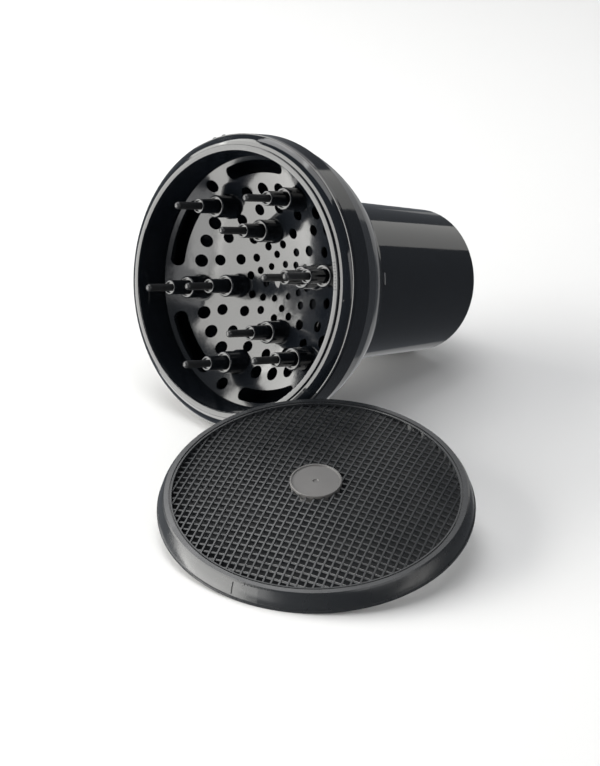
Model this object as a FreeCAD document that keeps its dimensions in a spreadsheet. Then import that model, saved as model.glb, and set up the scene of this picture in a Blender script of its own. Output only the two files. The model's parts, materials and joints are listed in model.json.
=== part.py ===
import FreeCAD, Part
import math
import os

import Sketcher
from FreeCAD import Placement, Rotation, Vector

# Universal dryer diffuser with two interchangeable heads, in millimetres.
#
# Row frame: +Z up from the surface the set rests on, +X the way the bowl's mouth faces, origin
# under the middle of the whole set. The bowl lies on its widest band and on its collar's end,
# with the finger head locked on. The grille head leans in front of it.
#
# Bowl frame: +Z runs along the bowl's axis from the collar's open end to the mouth.
# Grille frame: +Z runs along the grille head's axis, out of the side that faces the hair.

DIMENSIONS = [
    ("rim_radius", 78.5, "outer radius shared by the bowl's band and both heads"),
    ("rim_height", 153.7, "plane where a head meets the bowl, above the collar's end"),
    ("band_height", 12.1, "straight band at the bowl's widest part"),
    ("band_gap", 0.4, "shadow gap between the band and the head on it"),
    ("band_break", 0.6, "small bevel at the edges of the band"),
    ("shell_wall", 2.2, "wall of the bowl and of the collar"),
    ("shoulder_radius", 75.0, "bowl radius where the cone turns into the shoulder"),
    ("shoulder_height", 132.5, "height of the same place"),
    ("shoulder_curve", 79.1, "curvature of the shoulder"),
    ("root_radius", 46.6, "bowl radius where the collar starts"),
    ("root_height", 96.1, "height where the collar starts"),
    ("neck_radius", 43.4, "outside of the bowl's neck, inside the collar"),
    ("neck_height", 10.5, "length of the neck"),
    ("spigot_radius", 73.5, "ring on the bowl that a head drops over"),
    ("spigot_inner", 71.2, "inside of the same ring"),
    ("spigot_height", 4.2, "how far the ring stands above the rim plane"),
    ("fit_gap", 0.1, "clearance of a head on the ring"),
    ("lug_radius", 74.7, "outside of the three bayonet lugs"),
    ("lug_low", 1.3, "underside of a lug above the rim plane"),
    ("lug_high", 3.3, "top of a lug above the rim plane"),
    ("lug_sweep", 12.0, "degrees of the ring that a lug covers"),
    ("twist", 18.0, "degrees a head turns between locked and free"),
    ("groove_slack", 1.0, "degrees of slack at each end of a bayonet groove"),
    ("groove_clear", 0.15, "clearance around a lug in its groove"),
    ("collar_front", 45.9, "collar radius at the bowl"),
    ("collar_back", 40.7, "collar radius at its open end"),
    ("collar_round", 1.4, "rounding of the collar's open end"),
    ("socket_radius", 43.45, "recess in the collar that takes the neck"),
    ("socket_depth", 10.8, "depth of that recess"),
    ("sleeve_start", 2.0, "rubber sleeve's outer end above the collar's end"),
    ("sleeve_height", 30.0, "length of the rubber sleeve"),
    ("sleeve_wall", 2.0, "rubber sleeve's outer wall"),
    ("throat_radius", 24.0, "bore that grips the dryer's barrel"),
    ("throat_wall", 2.2, "wall of that bore"),
    ("throat_low", 14.5, "start of the bore above the collar's end"),
    ("throat_high", 27.0, "end of the bore"),
    ("funnel_mouth", 36.4, "funnel radius at the outer end"),
    ("skirt_foot", 1.3, "straight foot of a head's outer edge"),
    ("skirt_top_radius", 74.3, "finger head's skirt radius at its top"),
    ("skirt_top", 5.0, "height of the same place"),
    ("lip_outer", 72.5, "outside of the finger head's rounded lip"),
    ("lip_inner", 69.0, "inside of that lip"),
    ("lip_top", 6.9, "height of that lip"),
    ("lip_round", 0.5, "rounding of that lip's edges"),
    ("lip_crown", 5.0, "curvature of that lip's top"),
    ("cover_top_radius", 75.4, "grille head's skirt radius at its top"),
    ("cover_top", 8.7, "height of the same place"),
    ("ring_top", 9.5, "height of the grille head's flat ring"),
    ("ring_inner", 72.3, "inside of that ring"),
    ("ring_step", 0.6, "width and depth of the groove inside that ring"),
    ("throat_top", 4.4, "ceiling of the recess in a head"),
    ("inner_wall_top", 71.0, "outside of the finger head's inner wall at its top"),
    ("dish_edge", 67.3, "outer radius of the perforated dish"),
    ("dish_depth", 32.0, "depth of the dish's centre under the rim plane"),
    ("dish_curve", 123.2, "radius of the dish's front surface"),
    ("dish_wall", 2.0, "thickness of the dish"),
    ("seat_depth", 14.45, "seat for the dish's edge under the rim plane"),
    ("seat_inner", 66.0, "inner radius of that seat"),
    ("seat_drop", 0.82, "how far the seat falls towards its inner edge"),
    ("seat_wall", 1.4, "thickness of that seat"),
    ("head_turn", 51.0, "direction of the first outer finger about the bowl's axis"),
    ("inner_turn", 22.3, "direction of the first inner finger"),
    ("slot_inner", 58.3, "inner radius of the arc slots"),
    ("slot_outer", 65.2, "outer radius of the arc slots"),
    ("slot_half", 15.0, "half sweep of a slot between its end centres"),
    ("finger_outer_ring", 48.8, "radius of the outer ring of fingers"),
    ("finger_inner_ring", 27.3, "radius of the inner ring of fingers"),
    ("finger_outer_front", 9.1, "front of an outer finger's base under the rim plane"),
    ("finger_inner_front", 16.9, "front of an inner finger's base under the rim plane"),
    ("base_length", 19.0, "length of a finger's base tube"),
    ("base_radius", 6.1, "outside of the base tube"),
    ("base_bore", 4.6, "inside of the base tube"),
    ("base_vent", 3.0, "hole in the base tube's floor"),
    ("base_floor", 0.9, "thickness of that floor, which stops the sleeve"),
    ("base_neck", 4.0, "guide at the front of the base tube"),
    ("base_neck_length", 3.6, "length of that guide"),
    ("base_mouth", 4.85, "flare in front of the guide"),
    ("base_mouth_depth", 1.4, "depth of that flare"),
    ("base_round", 1.1, "rounding of the base tube's front edge"),
    ("foot_radius", 6.75, "base tube where it leaves the dish"),
    ("foot_rise", 3.0, "height of the flare at the dish"),
    ("sleeve_tube", 3.93, "outside of a finger's sliding sleeve"),
    ("sleeve_length", 21.0, "length of the sliding sleeve"),
    ("sleeve_reach", 13.0, "how far the sleeve stands out of its base"),
    ("sleeve_flange", 4.5, "stop flange at the sleeve's rear"),
    ("sleeve_bore", 2.7, "inside of the sleeve"),
    ("sleeve_neck", 2.07, "guide at the front of the sleeve"),
    ("sleeve_neck_length", 2.6, "length of that guide"),
    ("sleeve_mouth", 3.15, "flare in front of the guide"),
    ("sleeve_mouth_depth", 1.2, "depth of that flare"),
    ("sleeve_round", 0.6, "rounding of the sleeve's front edge"),
    ("flange_length", 2.5, "length of a stop flange"),
    ("tip_radius", 2.0, "radius of a finger's tip"),
    ("tip_reach", 17.4, "how far the tip stands out of its sleeve"),
    ("tip_hidden", 7.0, "length of the tip inside its sleeve"),
    ("tip_flange", 2.63, "stop flange at the tip's rear"),
    ("grille_radius", 70.8, "radius of the domed grille"),
    ("grille_edge", 8.4, "height of the grille's top at its edge"),
    ("grille_rise", 7.2, "how far the dome rises from edge to centre"),
    ("rib_pitch", 3.93, "spacing of the ribs"),
    ("upper_depth", 0.7, "depth of the upper layer of ribs"),
    ("lower_depth", 3.1, "depth of the lower layer of ribs"),
    ("upper_rib", 0.75, "width of an upper rib"),
    ("lower_rib", 0.95, "width of a lower rib"),
    ("rib_box", 18.0, "height of the slab that a rib is cut from"),
    ("boss_radius", 12.8, "radius of the round boss in the grille"),
    ("boss_low", 11.3, "underside of the boss"),
    ("boss_top", 16.4, "top of the boss's thin edge"),
    ("boss_edge", 0.8, "width of that edge"),
    ("boss_recess", 0.6, "depth of the boss's face inside the edge"),
    ("gate_radius", 1.5, "radius of the dimple in the boss"),
    ("gate_depth", 0.5, "depth of the dimple"),
    ("grille_x", 64.75, "grille head's centre along X from the bowl's rim centre"),
    ("grille_y", 119.6, "grille head's centre along Y from the bowl's axis"),
    ("lean", 11.82, "degrees the grille head leans"),
    ("lean_way", 25.89, "direction it leans to, in degrees from +X"),
    ("grille_spin", 22.34, "degrees the grille head is turned about its own axis"),
    ("stage_x", 8.27, "shift that centres the set along X"),
    ("stage_y", -59.7, "shift that centres the set along Y"),
]

OUTER_FINGERS = 6
INNER_FINGERS = 4

doc = FreeCAD.newDocument("dryer_diffuser")
sheet = doc.addObject("Spreadsheet::Sheet", "d")
for row, (alias, value, note) in enumerate(DIMENSIONS, start=1):
    sheet.set(f"A{row}", alias)
    sheet.set(f"B{row}", str(value))
    sheet.set(f"C{row}", note)
    sheet.setAlias(f"B{row}", alias)
doc.recompute()

size = {alias: value for alias, value, note in DIMENSIONS}
DOME_CURVE = "((d.grille_radius^2 + d.grille_rise^2) / (2 * d.grille_rise))"
subparts = []


def number(expression):
    """Value of an expression written in terms of the sheet's cells."""
    return float(sheet.evalExpression(expression))


def new_body(label):
    body = doc.addObject("PartDesign::Body", label)
    body.Label = label
    return body


def origin_plane(body, role):
    return next(item for item in body.Origin.OriginFeatures if item.Role == role)


def new_sketch(body, role, name, height="0", turn="0", about=Vector(0, 0, 1)):
    """Sketch on an origin plane, raised by height and turned by turn degrees."""
    sketch = body.newObject("Sketcher::SketchObject", name)
    sketch.AttachmentSupport = (origin_plane(body, role), [""])
    sketch.MapMode = "FlatFace"
    offset = Placement(Vector(0, 0, number(height)), Rotation(about, number(turn)))
    sketch.AttachmentOffset = offset
    if height != "0":
        sketch.setExpression("AttachmentOffset.Base.z", height)
    return sketch


def pin_point(sketch, geometry, position, across, up):
    """Fix a sketch point at two expressions, using the axes where one is zero."""
    for kind, axis, expression in (("DistanceX", -2, across), ("DistanceY", -1, up)):
        if expression == "0":
            sketch.addConstraint(Sketcher.Constraint("PointOnObject", geometry, position, axis))
            continue
        value = number(expression)
        index = sketch.addConstraint(
            Sketcher.Constraint(kind, -1, 1, geometry, position, value))
        sketch.setExpression(f"Constraints[{index}]", expression)


def arc_between(start, end, radius, side):
    """Arc from start to end; side +1 bulges to the right of the way it runs."""
    chord = end - start
    middle = (start + end) / 2
    across = Vector(chord.y, -chord.x, 0)
    across.normalize()
    sagitta = radius - math.sqrt(radius ** 2 - (chord.Length / 2) ** 2)
    return Part.Arc(start, middle + across * (side * sagitta), end)


def draw_profile(sketch, points):
    """Closed outline. A point is (across, up) or, where an arc starts, (across, up, radius, side)."""
    places = [Vector(number(point[0]), number(point[1]), 0) for point in points]
    ends = []
    for index, point in enumerate(points):
        start, end = places[index], places[(index + 1) % len(points)]
        if len(point) == 2:
            geometry = sketch.addGeometry(Part.LineSegment(start, end))
            ends.append((geometry, 1, 2))
            continue
        geometry = sketch.addGeometry(arc_between(start, end, number(point[2]), point[3]))
        first = 1 if sketch.getPoint(geometry, 1).distanceToPoint(start) < 1e-6 else 2
        ends.append((geometry, first, 3 - first))
    for index, (geometry, first, last) in enumerate(ends):
        following, its_first, _ = ends[(index + 1) % len(ends)]
        sketch.addConstraint(
            Sketcher.Constraint("Coincident", geometry, last, following, its_first))
        pin_point(sketch, geometry, first, points[index][0], points[index][1])
        if len(points[index]) > 2:
            place = sketch.addConstraint(
                Sketcher.Constraint("Radius", geometry, number(points[index][2])))
            sketch.setExpression(f"Constraints[{place}]", points[index][2])


def draw_circle(sketch, across, up, radius):
    centre = Vector(number(across), number(up), 0)
    geometry = sketch.addGeometry(Part.Circle(centre, Vector(0, 0, 1), number(radius)))
    place = sketch.addConstraint(Sketcher.Constraint("Radius", geometry, number(radius)))
    sketch.setExpression(f"Constraints[{place}]", radius)
    pin_point(sketch, geometry, 3, across, up)


def revolve(body, name, points, sweep="360", remove=False, turn="0"):
    """Turn an outline in the XZ plane about the body's Z axis, centred on its plane."""
    sketch = new_sketch(body, "XZ_Plane", name + "_outline", turn=turn, about=Vector(0, 1, 0))
    draw_profile(sketch, points)
    kind = "PartDesign::Groove" if remove else "PartDesign::Revolution"
    feature = body.newObject(kind, name)
    feature.Profile = sketch
    feature.ReferenceAxis = (sketch, ["V_Axis"])
    feature.Angle = number(sweep)
    if sweep != "360":
        feature.Midplane = True
        feature.setExpression("Angle", sweep)
    sketch.Visibility = False
    return feature


def extrude(body, name, circles, low, length, remove=False):
    """Pad or pocket circles upwards from the height low."""
    sketch = new_sketch(body, "XY_Plane", name + "_outline", height=low)
    for across, up, radius in circles:
        draw_circle(sketch, across, up, radius)
    feature = body.newObject("PartDesign::Pocket" if remove else "PartDesign::Pad", name)
    feature.Profile = sketch
    feature.Length = number(length)
    feature.setExpression("Length", length)
    feature.Reversed = remove
    return feature


def polar(body, name, features, count):
    pattern = body.newObject("PartDesign::PolarPattern", name)
    pattern.Originals = features
    pattern.Axis = (origin_axis(body), [""])
    pattern.Angle = 360
    pattern.Occurrences = count
    body.Tip = pattern
    return pattern


def origin_axis(body):
    return next(item for item in body.Origin.OriginFeatures if item.Role == "Z_Axis")


def at_angle(radius, turn):
    """Expressions for a point on a circle of the given radius, turn degrees from +X."""
    return f"({radius}) * cos({turn} * 1 deg)", f"({radius}) * sin({turn} * 1 deg)"


def keep(body, placement):
    body.Placement = placement
    subparts.append(body)


# Where the bowl lies -----------------------------------------------------------------------------

def bowl_tilt():
    """Slope of the bowl's axis when its band's edge and its collar's end touch the floor."""
    edge, rounding = size["band_break"], size["collar_round"]
    along = size["rim_height"] - size["band_height"] + edge - rounding
    out = (size["rim_radius"] - edge) - (size["collar_back"] - rounding)
    return math.atan2(out, along) + math.asin((edge - rounding) / math.hypot(along, out))


def bowl_placement(turn=0.0):
    tilt = bowl_tilt()
    rounding = size["collar_round"]
    height = rounding + (size["collar_back"] - rounding) * math.cos(tilt) - rounding * math.sin(tilt)
    rim_reach = size["rim_height"] * math.cos(tilt)
    place = Vector(size["stage_x"] - rim_reach, size["stage_y"], height)
    lie = Rotation(Vector(0, 1, 0), 90 - math.degrees(tilt))
    return Placement(place, lie.multiply(Rotation(Vector(0, 0, 1), turn)))


def grille_placement():
    lean = math.radians(size["lean"])
    place = Vector(size["grille_x"] + size["stage_x"], size["grille_y"] + size["stage_y"],
                   size["rim_radius"] * math.sin(lean))
    vertical = Vector(0, 0, 1)
    turn = Rotation(vertical, size["lean_way"])
    turn = turn.multiply(Rotation(Vector(0, 1, 0), size["lean"]))
    turn = turn.multiply(Rotation(vertical, size["grille_spin"] - size["lean_way"]))
    return Placement(place, turn)


# Bowl --------------------------------------------------------------------------------------------

def make_bowl_shell():
    body = new_body("bowl_shell")
    revolve(body, "shell", [
        ("d.neck_radius", "d.root_height"),
        ("d.root_radius", "d.root_height", "d.shoulder_curve", 1),
        ("d.shoulder_radius", "d.shoulder_height"),
        ("d.rim_radius - d.band_break", "d.rim_height - d.band_height"),
        ("d.rim_radius", "d.rim_height - d.band_height + d.band_break"),
        ("d.rim_radius", "d.rim_height - d.band_gap - d.band_break"),
        ("d.rim_radius - d.band_break", "d.rim_height - d.band_gap"),
        ("d.spigot_radius", "d.rim_height - d.band_gap"),
        ("d.spigot_radius", "d.rim_height + d.spigot_height"),
        ("d.spigot_inner", "d.rim_height + d.spigot_height"),
        ("d.spigot_inner", "d.rim_height - d.band_height * 1.5"),
        ("d.shoulder_radius - d.shell_wall", "d.shoulder_height + d.shell_wall / 2",
         "d.shoulder_curve - d.shell_wall", -1),
        ("d.root_radius - d.shell_wall", "d.root_height + d.shell_wall"),
        ("d.neck_radius - d.shell_wall", "d.root_height - d.shell_wall / 2"),
        ("d.neck_radius - d.shell_wall", "d.root_height - d.neck_height"),
        ("d.neck_radius", "d.root_height - d.neck_height"),
    ])
    lug = revolve(body, "lug", [
        ("d.spigot_radius - 0.5", "d.rim_height + d.lug_low"),
        ("d.lug_radius", "d.rim_height + d.lug_low"),
        ("d.lug_radius", "d.rim_height + d.lug_high"),
        ("d.spigot_radius - 0.5", "d.rim_height + d.lug_high"),
    ], sweep="d.lug_sweep")
    polar(body, "lugs", [lug], 3)
    keep(body, bowl_placement())


def make_collar():
    body = new_body("collar")
    socket_end = "d.root_height - d.socket_depth"
    revolve(body, "tube", [
        ("d.collar_front", "d.root_height"),
        ("d.socket_radius", "d.root_height"),
        ("d.socket_radius", socket_end),
        ("d.socket_radius - 0.4", socket_end),
        ("d.collar_back - d.shell_wall", "d.collar_round"),
        ("d.collar_back - d.shell_wall + 0.3", "0.3"),
        ("d.collar_back - d.collar_round", "0", "d.collar_round", 1),
        ("d.collar_back", "d.collar_round"),
    ])
    keep(body, bowl_placement())


def make_adapter_sleeve():
    """Rubber sleeve in the collar's open end. Its funnel narrows to the bore for the barrel."""
    body = new_body("adapter_sleeve")
    inside = "(d.collar_back - d.shell_wall)"
    slope = "(d.socket_radius - 0.4 - d.collar_back + d.shell_wall)"
    length = "(d.root_height - d.socket_depth - d.collar_round)"
    rear = f"{inside} + {slope} * (d.sleeve_start - d.collar_round) / {length} - 0.05"
    front = f"{inside} + {slope} * (d.sleeve_start + d.sleeve_height - d.collar_round) / {length} - 0.05"
    sleeve_top = "d.sleeve_start + d.sleeve_height"
    revolve(body, "sleeve", [
        (rear, "d.sleeve_start"),
        (front, sleeve_top),
        (f"{front} - d.sleeve_wall", sleeve_top),
        ("d.funnel_mouth + 0.4", "d.sleeve_start + 6"),
        ("d.throat_radius + d.throat_wall", "d.throat_low + d.throat_wall"),
        ("d.throat_radius + d.throat_wall", "d.throat_high"),
        ("d.throat_radius", "d.throat_high"),
        ("d.throat_radius", "d.throat_low"),
        ("d.funnel_mouth", "d.sleeve_start"),
    ])
    keep(body, bowl_placement())


# Heads -------------------------------------------------------------------------------------------

def skirt_points(base, top_radius, top, curve):
    """Outside of a head's edge, from its recess round the foot to the top of the skirt."""
    return [
        ("d.spigot_radius + d.fit_gap", f"{base} + d.throat_top"),
        ("d.spigot_radius + d.fit_gap", base),
        ("d.rim_radius", base),
        ("d.rim_radius", f"{base} + d.skirt_foot"),
        ("d.rim_radius - 0.5", f"{base} + d.skirt_foot + 0.1"),
        ("d.rim_radius - 0.6", f"{base} + d.skirt_foot + 0.5", curve, 1),
        (top_radius, f"{base} + {top}"),
    ]


def cut_bayonet(body, base):
    """Three grooves for the bowl's lugs, each open at one end. The locked end is the other one."""
    low = f"{base} + d.lug_low - d.groove_clear"
    high = f"{base} + d.lug_high + d.groove_clear"
    deep = "d.lug_radius + d.groove_clear"
    track = revolve(body, "track", [
        ("d.spigot_radius - 0.5", low), (deep, low), (deep, high), ("d.spigot_radius - 0.5", high),
    ], sweep="d.lug_sweep + d.twist + 2 * d.groove_slack", remove=True)
    entry = revolve(body, "entry", [
        ("d.spigot_radius - 0.5", f"{base} - 1"), (deep, f"{base} - 1"),
        (deep, high), ("d.spigot_radius - 0.5", high),
    ], sweep="d.lug_sweep + 2 * d.groove_slack", remove=True, turn="0 - d.twist / 2")
    polar(body, "bayonet", [track, entry], 3)


def make_finger_head_rim():
    body = new_body("finger_head_rim")
    base = "d.rim_height"
    lip_edge = f"{base} + d.lip_top - d.lip_round"
    revolve(body, "rim", skirt_points(base, "d.skirt_top_radius", "d.skirt_top", "9") + [
        ("d.lip_outer + 0.6", f"{base} + d.skirt_top + 0.3"),
        ("d.lip_outer", f"{base} + d.skirt_top + 0.4"),
        ("d.lip_outer", lip_edge, "d.lip_round", 1),
        ("d.lip_outer - d.lip_round", f"{base} + d.lip_top", "d.lip_crown", 1),
        ("d.lip_inner + 0.3 + d.lip_round", f"{base} + d.lip_top", "d.lip_round", 1),
        ("d.lip_inner + 0.3", lip_edge),
        ("d.lip_inner", f"{base} + d.skirt_top"),
        ("d.dish_edge + 0.05", f"{base} - 10"),
        ("d.dish_edge + 0.05", f"{base} - d.seat_depth"),
        ("d.seat_inner", f"{base} - d.seat_depth - d.seat_drop"),
        ("d.seat_inner", f"{base} - d.seat_depth - d.seat_drop - d.seat_wall"),
        ("d.dish_edge + 2", f"{base} - d.seat_depth - d.seat_wall"),
        ("d.inner_wall_top", f"{base} + d.throat_top"),
    ])
    cut_bayonet(body, base)
    keep(body, bowl_placement(-size["twist"] / 2))


HOLE_RINGS = [  # name, radius, hole radius, turns from the first outer finger, repeats
    ("centre_ring", 10.0, 1.95, [2.8], 6),
    ("second_ring", 14.7, 2.05, [32.3], 6),
    ("third_ring", 20.2, 2.25, [16.8], 12),
    ("fourth_ring", 28.3, 2.9, [1.3, 31.3], 4),
    ("fifth_ring", 39.7, 3.0, [-0.7], 18),
    ("sixth_ring", 49.7, 3.5, [16.5, 29.8, 43.1], 6),
    ("edge_ring", 62.0, 3.3, [-0.2], 6),
]


def make_finger_bases():
    """Hollow stubs that stand through the dish, each with a flared foot, a guide and a wide mouth."""
    stubs = []
    for order, place in finger_places():
        ring, front = ("d.finger_outer_ring", "d.finger_outer_front")
        if order > OUTER_FINGERS:
            ring, front = ("d.finger_inner_ring", "d.finger_inner_front")
        surface = f"({front} - d.dish_depth + d.dish_curve - sqrt(d.dish_curve^2 - {ring}^2))"
        stub = new_body(f"base_{order:02d}")
        revolve(stub, "stub", [
            ("d.base_vent", "0 - d.base_length"),
            ("d.base_radius", "0 - d.base_length"),
            ("d.base_radius", f"{surface} - d.dish_wall - 3.4"),
            ("d.foot_radius", f"{surface} - d.dish_wall - 2.6"),
            ("d.foot_radius", f"{surface} + 0.6"),
            ("d.base_radius", f"{surface} + d.foot_rise"),
            ("d.base_radius", "0 - d.base_round", "d.base_round", 1),
            ("d.base_radius - d.base_round", "0"),
            ("d.base_mouth", "0"),
            ("d.base_mouth", "0 - d.base_mouth_depth"),
            ("d.base_neck", "0 - d.base_mouth_depth"),
            ("d.base_neck", "0 - d.base_mouth_depth - d.base_neck_length"),
            ("d.base_bore", "0 - d.base_mouth_depth - d.base_neck_length"),
            ("d.base_bore", "0 - d.base_length + d.base_floor"),
            ("d.base_vent", "0 - d.base_length + d.base_floor"),
        ])
        stub.Placement = Placement(place, Rotation())
        stubs.append(stub)
    bases = doc.addObject("Part::Compound", "finger_bases")
    bases.Links = stubs
    bases.Label = "finger_bases"
    keep(bases, bowl_placement())


def make_finger_dish():
    body = new_body("finger_dish")
    low = "d.rim_height - d.dish_depth"
    centre = f"({low} + d.dish_curve)"
    back_curve = "d.dish_curve + d.dish_wall"
    revolve(body, "dish", [
        ("0", f"{low} - d.dish_wall", back_curve, 1),
        ("d.dish_edge", f"{centre} - sqrt(({back_curve})^2 - d.dish_edge^2)"),
        ("d.dish_edge", f"{centre} - sqrt(d.dish_curve^2 - d.dish_edge^2)", "d.dish_curve", -1),
        ("0", low),
    ])
    rings = [("outer", "d.finger_outer_ring", "d.head_turn", OUTER_FINGERS),
             ("inner", "d.finger_inner_ring", "d.inner_turn", INNER_FINGERS)]
    for name, ring, turn, count in rings:
        seat = extrude(body, name + "_seat", [at_angle(ring, turn) + ("d.foot_radius",)],
                       f"{low} - 10", "60", remove=True)
        polar(body, name + "_seats", [seat], count)
    for name, radius, hole, turns, count in HOLE_RINGS:
        circles = [at_angle(str(radius), f"(d.head_turn + {turn})") + (str(hole),) for turn in turns]
        holes = extrude(body, name, circles, f"{low} - 10", "60", remove=True)
        polar(body, name + "_holes", [holes], count)
    cut_slots(body, low)
    keep(body, bowl_placement())


def cut_slots(body, low):
    """Six arc slots with round ends near the dish's edge, between the outer fingers."""
    sketch = new_sketch(body, "XY_Plane", "slot_outline", height=f"{low} - 10")
    middle = size["head_turn"] + 30
    half = size["slot_half"]
    inner, outer = size["slot_inner"], size["slot_outer"]
    centre_line = (inner + outer) / 2

    def polar_point(radius, turn):
        angle = math.radians(turn)
        return Vector(radius * math.cos(angle), radius * math.sin(angle), 0)

    corners = [(outer, middle - half), (outer, middle + half),
               (inner, middle + half), (inner, middle - half)]
    cap = math.degrees((outer - inner) / 2 / centre_line)
    through = [(outer, middle), (centre_line, middle + half + cap),
               (inner, middle), (centre_line, middle - half - cap)]
    for index in range(4):
        start = polar_point(*corners[index])
        end = polar_point(*corners[(index + 1) % 4])
        sketch.addGeometry(Part.Arc(start, polar_point(*through[index]), end))
    sketch.addConstraint(Sketcher.Constraint("Block", 0))
    for index in range(1, 4):
        sketch.addConstraint(Sketcher.Constraint("Block", index))
    slot = body.newObject("PartDesign::Pocket", "slot")
    slot.Profile = sketch
    slot.Length = 60
    slot.Reversed = True
    polar(body, "slots", [slot], 6)


# Fingers -----------------------------------------------------------------------------------------

def finger_places():
    """Number and place of each finger's base front, the outer ring first."""
    rings = [(OUTER_FINGERS, "finger_outer_ring", "finger_outer_front", "head_turn"),
             (INNER_FINGERS, "finger_inner_ring", "finger_inner_front", "inner_turn")]
    order = 0
    for count, ring_name, front_name, turn_name in rings:
        ring, front = size[ring_name], size[front_name]
        for index in range(count):
            order += 1
            turn = math.radians(size[turn_name] + 360 / count * index)
            yield order, Vector(ring * math.cos(turn), ring * math.sin(turn),
                                size["rim_height"] - front)


def make_finger_sleeve(order, base_front):
    body = new_body(f"finger_sleeve_{order:02d}")
    top = "d.sleeve_length"
    neck_end = f"{top} - d.sleeve_mouth_depth - d.sleeve_neck_length"
    revolve(body, "sleeve", [
        ("d.sleeve_bore", "0"),
        ("d.sleeve_flange", "0"),
        ("d.sleeve_flange", "d.flange_length"),
        ("d.sleeve_tube", "d.flange_length"),
        ("d.sleeve_tube", f"{top} - d.sleeve_round", "d.sleeve_round", 1),
        ("d.sleeve_tube - d.sleeve_round", top),
        ("d.sleeve_mouth", top),
        ("d.sleeve_mouth", f"{top} - d.sleeve_mouth_depth"),
        ("d.sleeve_neck", f"{top} - d.sleeve_mouth_depth"),
        ("d.sleeve_neck", neck_end),
        ("d.sleeve_bore", neck_end),
    ])
    rise = Vector(0, 0, size["sleeve_reach"] - size["sleeve_length"])
    keep(body, bowl_placement().multiply(Placement(base_front + rise, Rotation())))


def make_finger_tip(order, base_front):
    body = new_body(f"finger_tip_{order:02d}")
    top = "d.tip_hidden + d.tip_reach"
    revolve(body, "tip", [
        ("0", "0"),
        ("d.tip_flange", "0"),
        ("d.tip_flange", "d.flange_length"),
        ("d.tip_radius", "d.flange_length"),
        ("d.tip_radius", f"{top} - d.tip_radius", "d.tip_radius", 1),
        ("0", top),
    ])
    rise = Vector(0, 0, size["sleeve_reach"] - size["tip_hidden"])
    keep(body, bowl_placement().multiply(Placement(base_front + rise, Rotation())))


# Grille head -------------------------------------------------------------------------------------

def make_grille_rim():
    """Edge of the grille head: skirt, flat ring, groove, and a thin bead round the grille."""
    body = new_body("grille_rim")
    groove = "d.ring_top - d.ring_step"
    bead = "d.ring_top - 0.1"
    revolve(body, "rim", skirt_points("0", "d.cover_top_radius", "d.cover_top", "14") + [
        ("d.cover_top_radius - 0.7", "d.ring_top - 0.1"),
        ("d.ring_inner", "d.ring_top"),
        ("d.ring_inner - 0.1", groove),
        ("d.ring_inner - d.ring_step", groove),
        ("d.ring_inner - d.ring_step - 0.1", bead),
        ("d.grille_radius + 0.1", bead),
        ("d.grille_radius", "d.ring_top - 0.3"),
        ("d.grille_radius", "d.throat_top"),
    ])
    cut_bayonet(body, "0")
    keep(body, grille_placement())


def make_grille_boss():
    body = new_body("grille_boss")
    face = "d.boss_top - d.boss_recess"
    revolve(body, "boss", [
        ("0", "d.boss_low"),
        ("d.boss_radius", "d.boss_low"),
        ("d.boss_radius", "d.boss_top - 0.2"),
        ("d.boss_radius - 0.2", "d.boss_top"),
        ("d.boss_radius - d.boss_edge", "d.boss_top"),
        ("d.boss_radius - d.boss_edge - 0.3", face),
        ("d.gate_radius", face),
        ("d.gate_radius - 0.4", f"{face} - d.gate_depth"),
        ("0", f"{face} - d.gate_depth"),
    ])
    keep(body, grille_placement())


def dome_height(radius, depth):
    """Height of the surface that lies depth under the dome's top, at the given radius."""
    return (f"(d.grille_edge + d.grille_rise - {DOME_CURVE}"
            f" + sqrt(({DOME_CURVE} - ({depth}))^2 - ({radius})^2))")


def make_rib_zone(label, high, low):
    """Domed ring that a layer of ribs fills."""
    zone = new_body(label + "_zone")
    revolve(zone, "zone", [
        ("d.boss_radius", dome_height("d.boss_radius", high), f"{DOME_CURVE} - ({high})", -1),
        ("d.grille_radius", dome_height("d.grille_radius", high)),
        ("d.grille_radius", dome_height("d.grille_radius", low), f"{DOME_CURVE} - ({low})", 1),
        ("d.boss_radius", dome_height("d.boss_radius", low)),
    ])
    return zone


def make_rib_layer(label, width, zone, turned):
    """Parallel ribs cut from slabs by a domed ring, so that each follows the dome."""
    slabs = []
    count = int((size["grille_radius"] - size[width]) / size["rib_pitch"])
    spin = Placement(Vector(), Rotation(Vector(0, 0, 1), 90 if turned else 0))
    for step in range(-count, count + 1):
        slab = doc.addObject("Part::Box", f"{label}_slab_{step + count:02d}")
        slab.setExpression("Length", f"d.{width}")
        slab.setExpression("Width", "2 * d.grille_radius")
        slab.setExpression("Height", "d.rib_box")
        across = step * size["rib_pitch"] - size[width] / 2
        slab.Placement = spin.multiply(
            Placement(Vector(across, -size["grille_radius"], 0), Rotation()))
        slabs.append(slab)
    grid = doc.addObject("Part::Compound", label + "_slabs")
    grid.Links = slabs
    ribs = doc.addObject("Part::Common", label)
    ribs.Base = grid
    ribs.Tool = zone
    ribs.Label = label
    keep(ribs, grille_placement())


make_bowl_shell()
make_collar()
make_adapter_sleeve()
make_finger_head_rim()
make_finger_dish()
make_finger_bases()
for finger, front in finger_places():
    make_finger_sleeve(finger, front)
    make_finger_tip(finger, front)
make_grille_rim()
make_grille_boss()
upper_zone = make_rib_zone("upper", "0", "d.upper_depth")
lower_zone = make_rib_zone("lower", "d.upper_depth", "d.upper_depth + d.lower_depth")
make_rib_layer("grille_upper_ribs", "upper_rib", upper_zone, True)
make_rib_layer("grille_lower_ribs", "lower_rib", lower_zone, False)

doc.recompute()
for item in doc.Objects:
    if "Invalid" in item.State or "Error" in item.State:
        raise RuntimeError(f"{item.Label} failed: {item.State}")

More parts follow.
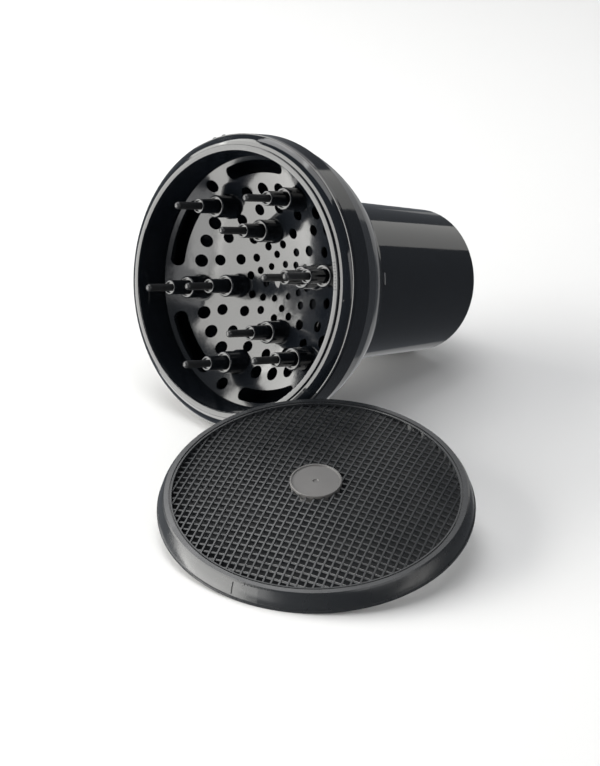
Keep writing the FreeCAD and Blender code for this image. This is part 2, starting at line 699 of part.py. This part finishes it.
os.makedirs("parts", exist_ok=True)
whole = FreeCAD.BoundBox()
for part in subparts:
    if part.Shape.isNull() or not part.Shape.isValid():
        raise RuntimeError(f"{part.Label} has no valid shape")
    part.Shape.exportStep(f"parts/{part.Label}.step")
    whole.add(part.Shape.BoundBox)
    print(part.Label, "solids", len(part.Shape.Solids), "volume", round(part.Shape.Volume, 1))
print("bowl tilt", round(math.degrees(bowl_tilt()), 3))
print("box", [round(value, 3) for value in (whole.XMin, whole.XMax, whole.YMin, whole.YMax,
                                            whole.ZMin, whole.ZMax)])
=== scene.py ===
import json
import math
from collections import namedtuple

import bmesh
import bpy
from mathutils import Matrix, Vector


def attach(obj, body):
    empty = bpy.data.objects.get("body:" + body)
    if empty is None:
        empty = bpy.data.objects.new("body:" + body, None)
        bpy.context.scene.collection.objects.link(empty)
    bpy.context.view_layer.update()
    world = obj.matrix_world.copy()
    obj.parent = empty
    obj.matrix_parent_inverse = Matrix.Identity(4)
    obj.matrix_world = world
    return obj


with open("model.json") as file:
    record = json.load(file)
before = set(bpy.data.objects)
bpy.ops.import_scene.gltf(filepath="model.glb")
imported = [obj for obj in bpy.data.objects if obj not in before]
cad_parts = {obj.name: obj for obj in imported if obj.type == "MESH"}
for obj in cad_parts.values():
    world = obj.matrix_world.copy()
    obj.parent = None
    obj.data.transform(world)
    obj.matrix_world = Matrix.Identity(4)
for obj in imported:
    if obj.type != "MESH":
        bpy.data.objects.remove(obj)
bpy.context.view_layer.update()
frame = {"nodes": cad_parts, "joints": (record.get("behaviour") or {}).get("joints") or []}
MM = 0.001


# Materials -----------------------------------------------------------------------------------------

# Noise rarely leaves this middle band, so the band is stretched to the whole range asked for.
NOISE_LOW, NOISE_HIGH = 0.35, 0.65
# Noise scales, in features per metre, from the slowest change to the finest.
DRIFT_SCALE, SMEAR_SCALE, PEEL_SCALE, GRAIN_SCALE = 22, 55, 240, 3200
SMEAR_STRETCH = (1, 1, 0.35)
PEEL_DEPTH, GRAIN_DEPTH = 0.0006, 0.00012


def new_material(name):
    material = bpy.data.materials.new(name)
    material.use_nodes = True
    return material, material.node_tree.nodes["Principled BSDF"]


def noise(material, scale, detail, roughness=0.5, stretch=None):
    """Noise over the piece's own coordinates, so that it moves with the piece."""
    tree = material.node_tree
    coordinates = tree.nodes.new("ShaderNodeTexCoord").outputs["Object"]
    if stretch:
        mapping = tree.nodes.new("ShaderNodeMapping")
        mapping.inputs["Scale"].default_value = stretch
        tree.links.new(coordinates, mapping.inputs["Vector"])
        coordinates = mapping.outputs["Vector"]
    node = tree.nodes.new("ShaderNodeTexNoise")
    node.inputs["Scale"].default_value = scale
    node.inputs["Detail"].default_value = detail
    node.inputs["Roughness"].default_value = roughness
    tree.links.new(coordinates, node.inputs["Vector"])
    return node.outputs["Fac"]


def stretch_noise(material, source, low, high):
    """Map noise to the range low to high."""
    node = material.node_tree.nodes.new("ShaderNodeMapRange")
    node.inputs["From Min"].default_value = NOISE_LOW
    node.inputs["From Max"].default_value = NOISE_HIGH
    node.inputs["To Min"].default_value = low
    node.inputs["To Max"].default_value = high
    material.node_tree.links.new(source, node.inputs["Value"])
    return node.outputs["Result"]


def bump(material, height, strength, depth, under=None):
    """Normal with bumps of the given depth, on top of an earlier bump if there is one."""
    tree = material.node_tree
    node = tree.nodes.new("ShaderNodeBump")
    node.inputs["Strength"].default_value = strength
    node.inputs["Distance"].default_value = depth
    tree.links.new(height, node.inputs["Height"])
    if under:
        tree.links.new(under, node.inputs["Normal"])
    return node.outputs["Normal"]


def moulded_plastic(name, dark, light, rough_low, rough_high, specular, peel, grain=0.0):
    """Injection-moulded plastic: slow colour drift, uneven gloss, orange peel and fine grain."""
    material, shader = new_material(name)
    tree = material.node_tree
    mix = tree.nodes.new("ShaderNodeMix")
    mix.data_type = "RGBA"
    mix.inputs["A"].default_value = (*dark, 1)
    mix.inputs["B"].default_value = (*light, 1)
    drift = noise(material, DRIFT_SCALE, 4)
    tree.links.new(stretch_noise(material, drift, 0, 1), mix.inputs["Factor"])
    tree.links.new(mix.outputs["Result"], shader.inputs["Base Color"])

    smear = noise(material, SMEAR_SCALE, 5, 0.6, SMEAR_STRETCH)
    gloss = stretch_noise(material, smear, rough_low, rough_high)
    tree.links.new(gloss, shader.inputs["Roughness"])
    shader.inputs["Specular IOR Level"].default_value = specular

    normal = bump(material, noise(material, PEEL_SCALE, 2), peel, PEEL_DEPTH)
    if grain:
        specks = noise(material, GRAIN_SCALE, 3, 0.6)
        normal = bump(material, specks, grain, GRAIN_DEPTH, under=normal)
    tree.links.new(normal, shader.inputs["Normal"])
    return material


# Colour pairs, dark and light, that each plastic drifts between.
DEEP_BLACK = (0.0025, 0.0034, 0.005), (0.004, 0.005, 0.0065)
SOFT_BLACK = (0.003, 0.0038, 0.0052), (0.005, 0.006, 0.0075)
TIP_BLACK = (0.010, 0.0105, 0.0115), (0.017, 0.0175, 0.0185)
SATIN_BLACK = (0.008, 0.009, 0.0105), (0.013, 0.014, 0.0155)
# Grey of the grille's boss: a painted sheen, lighter than the disc's black, standing in for satin
# reflection of light.
BOSS_PAINTED_SHEEN = (0.07, 0.068, 0.067), (0.095, 0.092, 0.09)
RUBBER_BLACK = (0.012, 0.012, 0.012), (0.02, 0.02, 0.02)
# Light grey of the collar's index rib: a painted highlight, standing in for light caught by the
# rib's gloss.
PAINTED_HIGHLIGHT_GREY = (0.16, 0.165, 0.17), (0.2, 0.2, 0.205)

GLOSS = moulded_plastic("gloss_black", *DEEP_BLACK, 0.05, 0.11, specular=0.5, peel=0.03)
COLLAR = moulded_plastic("collar_black", *DEEP_BLACK, 0.035, 0.08, specular=0.5, peel=0.02)
DISH = moulded_plastic("dish_black", *SOFT_BLACK, 0.09, 0.15, specular=0.5, peel=0.05)
FINGER = moulded_plastic("finger_black", *SOFT_BLACK, 0.08, 0.15, specular=0.5, peel=0.03)
TIP = moulded_plastic("tip_satin", *TIP_BLACK, 0.28, 0.4, specular=0.45, peel=0.03, grain=0.05)
DISC = moulded_plastic("disc_satin", *SATIN_BLACK, 0.2, 0.32, specular=0.45, peel=0.03, grain=0.04)
RIBS = moulded_plastic("rib_satin", *SATIN_BLACK, 0.3, 0.42, specular=0.4, peel=0.03, grain=0.05)
# Painted sheen: the boss's base colour is grey in place of light reflected off its satin surface.
BOSS_PAINTED_SHEEN_LOOK = moulded_plastic("boss_satin", *BOSS_PAINTED_SHEEN, 0.4, 0.5, specular=0.4, peel=0.02, grain=0.1)
RUBBER = moulded_plastic("sleeve_rubber", *RUBBER_BLACK, 0.55, 0.75,
                         specular=0.3, peel=0.03, grain=0.2)
# Painted highlight: the index rib is coloured light grey in place of the light its gloss would
# catch.
INDEX_PAINTED_HIGHLIGHT = moulded_plastic("index_painted_highlight", *PAINTED_HIGHLIGHT_GREY, 0.35, 0.45, specular=0.4, peel=0.02, grain=0.05)

# Material of each CAD node, by the start of the node's name.
LOOKS = {"bowl_shell": GLOSS, "collar": COLLAR, "adapter_sleeve": RUBBER,
         "finger_head_rim": GLOSS, "finger_dish": DISH, "finger_bases": FINGER,
         "finger_sleeve": FINGER, "finger_tip": TIP, "grille_rim": DISC,
         # The grille boss's material carries a painted sheen in its grey colour.
         "grille_upper_ribs": RIBS, "grille_lower_ribs": RIBS, "grille_boss": BOSS_PAINTED_SHEEN_LOOK}


def dress(piece, material):
    piece.data.materials.clear()
    piece.data.materials.append(material)


for node_name, node_object in frame["nodes"].items():
    look = next(start for start in LOOKS if node_name.startswith(start))
    dress(node_object, LOOKS[look])


# Moulded marks -------------------------------------------------------------------------------------
# Sizes of marks are in millimetres and angles in degrees.

# A point on a surface, its outward normal, and the directions up and round the turned part.
Spot = namedtuple("Spot", "point out up around")

# A low round-ended ridge. Bend is the radius that the surface curves at, or None if it is flat.
Ridge = namedtuple("Ridge", "spot along length width height bend", defaults=[None])


class TurnedPart:
    """Centre, axis and zero direction of a turned part, to find places on its surface."""

    def __init__(self, centre, axis, zero):
        self.centre = Vector(centre)
        self.axis = Vector(axis).normalized()
        self.zero = Vector(zero).normalized()

    def spot(self, angle, radius, height, slope=0.0):
        """Slope is how far the surface's normal leans from straight out towards the axis."""
        turn = math.radians(angle)
        other = self.axis.cross(self.zero)
        radial = self.zero * math.cos(turn) + other * math.sin(turn)
        lean = math.radians(slope)
        out = radial * math.cos(lean) + self.axis * math.sin(lean)
        up = self.axis * math.cos(lean) - radial * math.sin(lean)
        point = self.centre + (radial * radius + self.axis * height) * MM
        return Spot(point, out, up, self.axis.cross(radial))


def add_ridge(mesh, ridge):
    """A ball drawn out into a ridge with round ends, its lower half sunk in the surface."""
    spot, along = ridge.spot, ridge.along
    side = spot.out.cross(along)
    half_width = ridge.width / 2
    straight = (ridge.length - ridge.width) / 2
    ball = bmesh.ops.create_uvsphere(mesh, u_segments=20, v_segments=12, radius=1)
    for vertex in ball["verts"]:
        x, y, z = vertex.co
        off_middle = abs(x) > 1e-5
        run = x * half_width + (math.copysign(straight, x) if off_middle else 0)
        drop = run * run / (2 * ridge.bend) if ridge.bend else 0
        offset = along * run + side * (y * half_width) + spot.out * (z * ridge.height - drop)
        vertex.co = spot.point + offset * MM


def marks_piece(name, body, material, ridges):
    mesh = bmesh.new()
    for ridge in ridges:
        add_ridge(mesh, ridge)
    data = bpy.data.meshes.new(name)
    mesh.to_mesh(data)
    mesh.free()
    data.shade_smooth()
    piece = bpy.data.objects.new(name, data)
    bpy.context.scene.collection.objects.link(piece)
    dress(piece, material)
    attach(piece, body)


def rim_nubs(head):
    """Two nubs on the flange's edge."""
    flange_radius, flange_height = 78.5, 0.65
    spots = [head.spot(angle, flange_radius, flange_height) for angle in (210.5, 205.5)]
    return [Ridge(spot, spot.around, 2.2, 1.0, 0.6, flange_radius) for spot in spots]


def skirt_ticks(head):
    """A row of six ticks up the skirt, and a single dot over a quarter of a turn away."""
    ridges = []
    for index in range(6):
        spot = head.spot(199.5 + 1.3 * index, 76.3, 3.6, slope=48)
        length = 2.3 if index in (0, 3) else 1.5
        ridges.append(Ridge(spot, spot.up, length, 0.4, 0.3, 9))
    dot = head.spot(100.2, 75.2, 4.45, slope=50)
    ridges.append(Ridge(dot, dot.up, 1.3, 1.1, 0.4))
    return ridges


def lip_ticks(head):
    """Ten ticks across the top of the lip, every third one longer."""
    ridges = []
    for index in range(10):
        spot = head.spot(104.3 + 1.25 * index, 70.8, 6.98, slope=90)
        length = 1.9 if index % 3 == 0 else 1.2
        ridges.append(Ridge(spot, spot.up, length, 0.45, 0.25, 5))
    return ridges


def collar_index(head):
    """The line round the collar, close to the bowl, which has the finger head's axis."""
    spot = head.spot(108.9, 45.46, -65.7)
    return [Ridge(spot, spot.around, 6.6, 0.6, 0.3, 45.5)]


def cover_ticks(cover):
    """One long tick down the grille rim's skirt, and nine short ones at its top edge."""
    long_tick = cover.spot(346.5, 77.1, 5.4, slope=20)
    ridges = [Ridge(long_tick, long_tick.up, 6.2, 0.6, 0.45, 14)]
    for index in range(9):
        spot = cover.spot(351 + 1.25 * index, 75.15, 8.9, slope=40)
        length = 1.6 if index % 4 == 0 else 1.1
        ridges.append(Ridge(spot, spot.up, length, 0.42, 0.32))
    return ridges


twist = next(joint for joint in frame["joints"] if joint["name"] == "finger_head_twist")
twist_axis = Vector(twist["axis"])
finger_head = TurnedPart(twist["pos_m"], twist_axis, (twist_axis.z, 0, -twist_axis.x))
grille_head = TurnedPart(centre=(0.07302, 0.0599, 0.01608),
                         axis=(0.18428, 0.08944, 0.9788),
                         zero=(0.8806, 0.4274, -0.2048))

marks_piece("rim_nubs", "finger_head", GLOSS, rim_nubs(finger_head))
marks_piece("skirt_ticks", "finger_head", GLOSS, skirt_ticks(finger_head))
marks_piece("lip_ticks", "finger_head", GLOSS, lip_ticks(finger_head))
# The collar's index rib carries a painted highlight in its light grey colour.
marks_piece("collar_index", "bowl", INDEX_PAINTED_HIGHLIGHT, collar_index(finger_head))
marks_piece("cover_ticks", "grille_head", DISC, cover_ticks(grille_head))


# Studio --------------------------------------------------------------------------------------------

FLOOR_RINGS = (0.3, 0.8, 1.6, 2.6)
FLOOR_CURVE = 1.2
FLOOR_TOP = 2.6
FLOOR_SIDES = 96
FLOOR_GREY = 0.62
LIGHTS_FACE = Vector((0, 0, 0.08))


def floor_ring(mesh, radius, height):
    return [mesh.verts.new((radius * math.cos(turn), radius * math.sin(turn), height))
            for turn in [math.tau * side / FLOOR_SIDES for side in range(FLOOR_SIDES)]]


def make_floor():
    """Flat pale floor that curves up into a wall far behind and around the object."""
    flat = FLOOR_RINGS[-1]
    outline = [(radius, 0.0) for radius in FLOOR_RINGS]
    for degrees in range(10, 91, 10):
        turn = math.radians(degrees)
        outline.append((flat + FLOOR_CURVE * math.sin(turn),
                        FLOOR_CURVE - FLOOR_CURVE * math.cos(turn)))
    outline.append((flat + FLOOR_CURVE, FLOOR_TOP))

    mesh = bmesh.new()
    middle = mesh.verts.new((0, 0, 0))
    rings = [floor_ring(mesh, radius, height) for radius, height in outline]
    for side in range(FLOOR_SIDES):
        after = (side + 1) % FLOOR_SIDES
        mesh.faces.new((middle, rings[0][side], rings[0][after]))
        for inner, outer in zip(rings, rings[1:]):
            mesh.faces.new((inner[side], outer[side], outer[after], inner[after]))
    data = bpy.data.meshes.new("studio_floor")
    mesh.to_mesh(data)
    mesh.free()
    data.shade_smooth()
    floor = bpy.data.objects.new("studio_floor", data)
    bpy.context.scene.collection.objects.link(floor)

    material, shader = new_material("floor_paper")
    shader.inputs["Base Color"].default_value = (FLOOR_GREY, FLOOR_GREY, FLOOR_GREY, 1)
    shader.inputs["Roughness"].default_value = 0.9
    shader.inputs["Specular IOR Level"].default_value = 0.0
    dress(floor, material)
    # Some softboxes reach below the floor, so it neither blocks their light nor hides them in gloss.
    floor.visible_glossy = False
    floor.visible_shadow = False


def softbox(name, azimuth, elevation, distance, width, height, radiance, colour):
    """Rectangular light that faces the object, with its brightness given as radiance."""
    light = bpy.data.lights.new(name, "AREA")
    light.shape = "RECTANGLE"
    light.size = width
    light.size_y = height
    light.energy = radiance * math.pi * width * height
    light.color = colour
    turn, lift = math.radians(azimuth), math.radians(elevation)
    direction = Vector((math.cos(turn) * math.cos(lift), math.sin(turn) * math.cos(lift),
                        math.sin(lift)))
    lamp = bpy.data.objects.new(name, light)
    lamp.location = LIGHTS_FACE + distance * direction
    lamp.rotation_mode = "QUATERNION"
    lamp.rotation_quaternion = (-direction).to_track_quat("-Z", "Y")
    lamp.visible_camera = False
    bpy.context.scene.collection.objects.link(lamp)


WHITE = (1, 1, 1)
WARM = (1, 0.99, 0.955)

# Name, azimuth and elevation in degrees, distance, width and height in metres, radiance, colour.
SOFTBOXES = [
    ("key", -31.5, -2, 1.7, 1.76, 2.9, 8, WARM),
    ("key_side", -69, 27, 1.75, 0.7, 0.95, 8, WARM),
    ("front", 7, 0, 1.9, 0.6, 1.9, 2.2, WHITE),
    ("front_low", 1, -4, 1.8, 0.5, 1.0, 4.0, WARM),
    ("top", -95, 62, 1.6, 0.8, 1.0, 4.5, WHITE),
    ("ceiling", -132, 48, 1.8, 0.9, 1.3, 1.3, WHITE),
    ("high", 0, 88, 1.9, 1.0, 1.0, 3.0, WHITE),
    ("side", 86, 27, 1.9, 1.3, 1.0, 2.2, WHITE),
    ("side_low", 110, -8, 1.9, 0.8, 1.3, 1.8, (1, 0.985, 0.95)),
    ("back", 184.5, 15, 1.9, 0.86, 0.9, 1.05, (1, 0.985, 0.94)),
    ("back_low", 202, -22, 1.9, 0.85, 1.6, 0.3, (1, 0.98, 0.95)),
]
ROOM_COLOUR = (0.16, 0.17, 0.185, 1)

make_floor()
for settings in SOFTBOXES:
    softbox(*settings)

world = bpy.data.worlds.new("studio")
world.use_nodes = True
world.node_tree.nodes["Background"].inputs["Color"].default_value = ROOM_COLOUR
world.node_tree.nodes["Background"].inputs["Strength"].default_value = 1.0
bpy.context.scene.world = world
bpy.context.scene.view_settings.view_transform = "Standard"


# Camera --------------------------------------------------------------------------------------------

CAMERA_PLACE = Vector((0.834985, 0.734050, 0.568435))
CAMERA_RIGHT = Vector((-0.68655, 0.72555, 0.04714)).normalized()
CAMERA_UP = Vector((-0.28418, -0.32746, 0.90112)).normalized()
FOCAL_LENGTH = 110.25
SENSOR_WIDTH = 36
NEAREST_SEEN = 0.05

lens = bpy.data.cameras.new("camera")
lens.lens = FOCAL_LENGTH
lens.sensor_width = SENSOR_WIDTH
lens.clip_start = NEAREST_SEEN
camera = bpy.data.objects.new("camera", lens)
camera_back = CAMERA_RIGHT.cross(CAMERA_UP).normalized()
camera_turn = Matrix((CAMERA_RIGHT, camera_back.cross(CAMERA_RIGHT), camera_back)).transposed()
camera.matrix_world = Matrix.Translation(CAMERA_PLACE) @ camera_turn.to_4x4()
bpy.context.scene.collection.objects.link(camera)
bpy.context.scene.camera = camera
